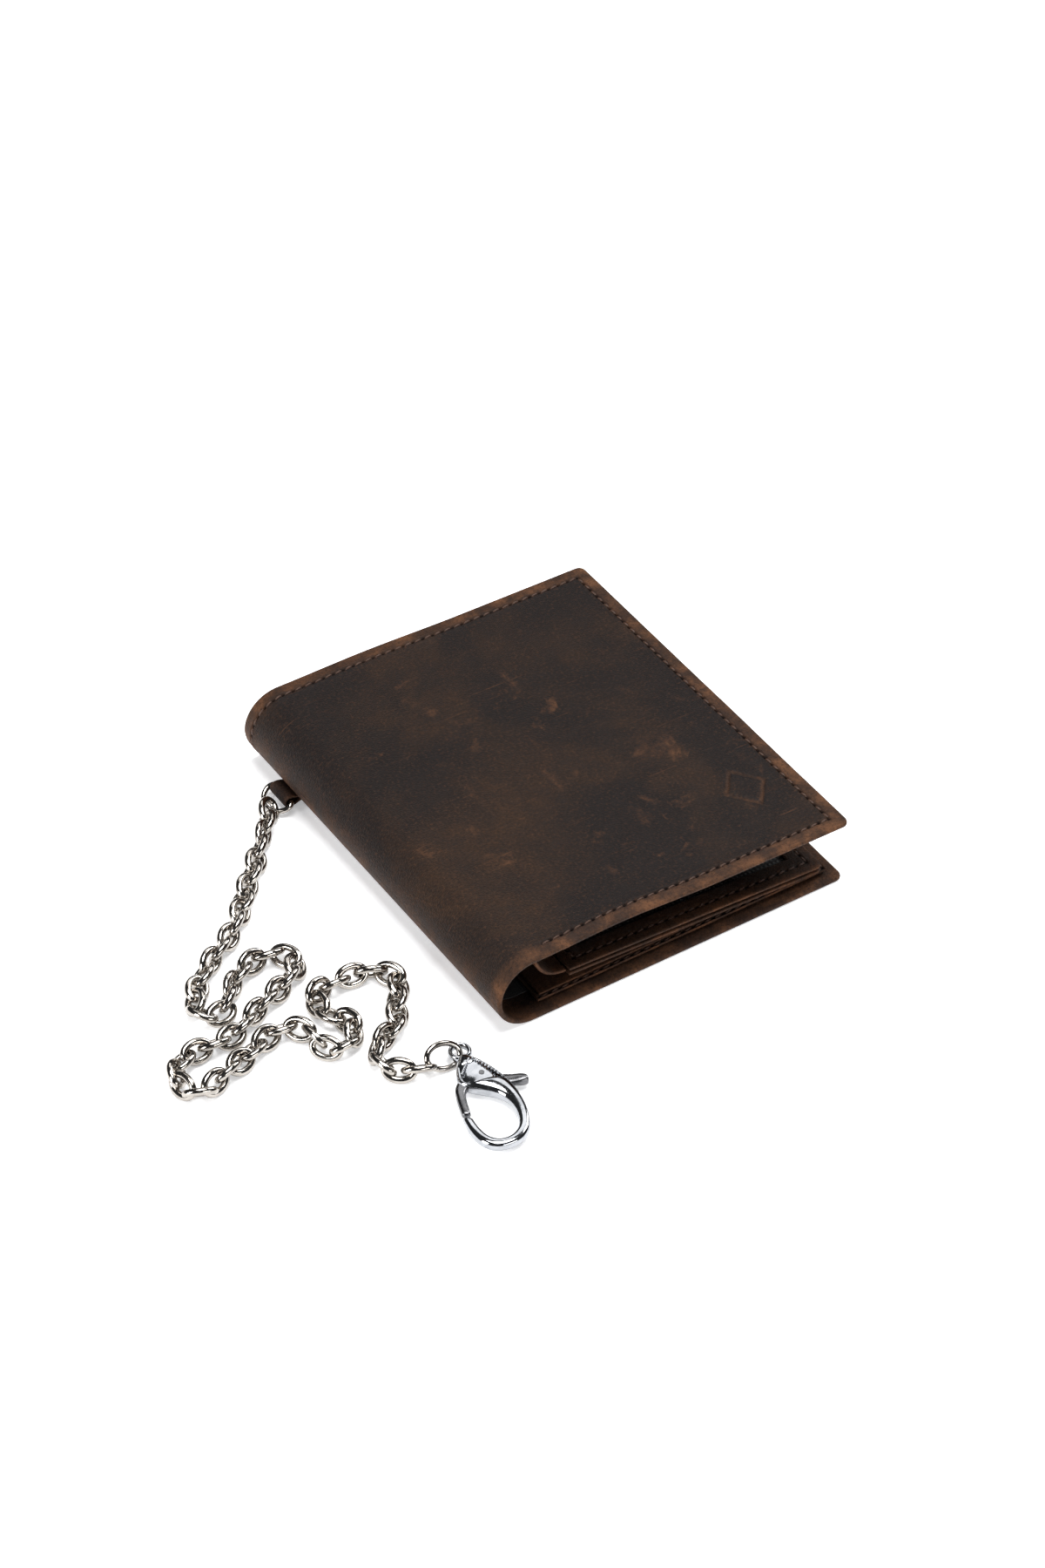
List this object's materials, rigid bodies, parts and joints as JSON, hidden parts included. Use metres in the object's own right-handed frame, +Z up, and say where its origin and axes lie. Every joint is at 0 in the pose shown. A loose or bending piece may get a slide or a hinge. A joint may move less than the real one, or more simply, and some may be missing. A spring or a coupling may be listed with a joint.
{
  "type": "chain wallet",
  "caption": "Closed bifold leather wallet with a rolled spine, stitched edges, card pockets and an identity leaf, tied by a D-ring tab to an oval-link chain with a lobster clasp.",
  "frame": {"origin": "under the middle of the closed wallet, on the surface that it lies on, with the anchor tab, chain and clasp left out", "axes": "+X from the rolled spine to the free edges, +Y along the spine away from the clasp's end, +Z up through the front cover"},
  "size_m": [0.179, 0.1549, 0.02],
  "materials": {
    "outer_leather": "oiled, rubbed brown pull-up leather with a matt to waxy surface",
    "inner_leather": "the same leather inside, a little lighter and drier",
    "lining_cloth": "plain black lining cloth",
    "window_mesh": "black nylon mesh",
    "nickel_chain": "polished warm nickel plate",
    "clasp_metal": "polished cool chrome plate on a casting"
  },
  "bodies": {
    "back": {"back_cover": "outer_leather", "note_lining_back": "lining_cloth", "back_panel": "inner_leather", "back_slip_pocket": "inner_leather", "anchor_tab": "inner_leather", "chain": "nickel_chain", "end_ring": "nickel_chain", "clasp_body": "clasp_metal", "clasp_pin": "clasp_metal", "clasp_spring": "clasp_metal"},
    "spine_1": {"spine_panel_1": "outer_leather", "note_lining_spine_1": "lining_cloth"},
    "spine_2": {"spine_panel_2": "outer_leather", "note_lining_spine_2": "lining_cloth"},
    "spine_3": {"spine_panel_3": "outer_leather", "note_lining_spine_3": "lining_cloth"},
    "front": {"front_cover": "outer_leather", "note_lining_front": "lining_cloth", "front_panel": "inner_leather", "card_pocket_1": "inner_leather", "card_pocket_2": "inner_leather", "card_pocket_3": "inner_leather"},
    "id_leaf": {"leaf_strip": "inner_leather", "id_backing": "inner_leather", "id_window": "window_mesh", "id_frame": "inner_leather"},
    "d_ring": {"d_ring": "nickel_chain"},
    "trigger": {"clasp_trigger": "clasp_metal"}
  },
  "joints": [
    {"name": "spine_fold_1", "type": "hinge", "parent": "back", "child": "spine_1", "pos_m": [-0.05084, 0, 0.00617], "axis": [0, -1, 0], "range_deg": [0, 45]},
    {"name": "spine_fold_2", "type": "hinge", "parent": "spine_1", "child": "spine_2", "pos_m": [-0.05126, 0, 0.01259], "axis": [0, -1, 0], "range_deg": [0, 45]},
    {"name": "spine_fold_3", "type": "hinge", "parent": "spine_2", "child": "spine_3", "pos_m": [-0.04769, 0, 0.01793], "axis": [0, -1, 0], "range_deg": [0, 45]},
    {"name": "cover_fold", "type": "hinge", "parent": "spine_3", "child": "front", "pos_m": [-0.0416, 0, 0.02], "axis": [0, -1, 0], "range_deg": [0, 45]},
    {"name": "leaf_turn", "type": "hinge", "parent": "front", "child": "id_leaf", "pos_m": [-0.0394, 0, 0.0166], "axis": [0, -1, 0], "range_deg": [-90, 0]},
    {"name": "d_ring_swing", "type": "hinge", "parent": "back", "child": "d_ring", "pos_m": [-0.0519, 0.0405, 0.0029], "axis": [0, 1, 0], "range_deg": [0, 40]},
    {"name": "trigger_pull", "type": "hinge", "parent": "back", "child": "trigger", "pos_m": [-0.06367, -0.07143, 0.0023], "axis": [0, 0, 1], "range_deg": [0, 20], "stiffness_Nm_per_rad": 0.02, "springref_deg": -20.05}
  ],
  "couplings": [
    {"joint": "spine_fold_1", "follows": "cover_fold", "ratio": 1},
    {"joint": "spine_fold_2", "follows": "cover_fold", "ratio": 1},
    {"joint": "spine_fold_3", "follows": "cover_fold", "ratio": 1},
    {"joint": "leaf_turn", "follows": "cover_fold", "ratio": -2}
  ]
}
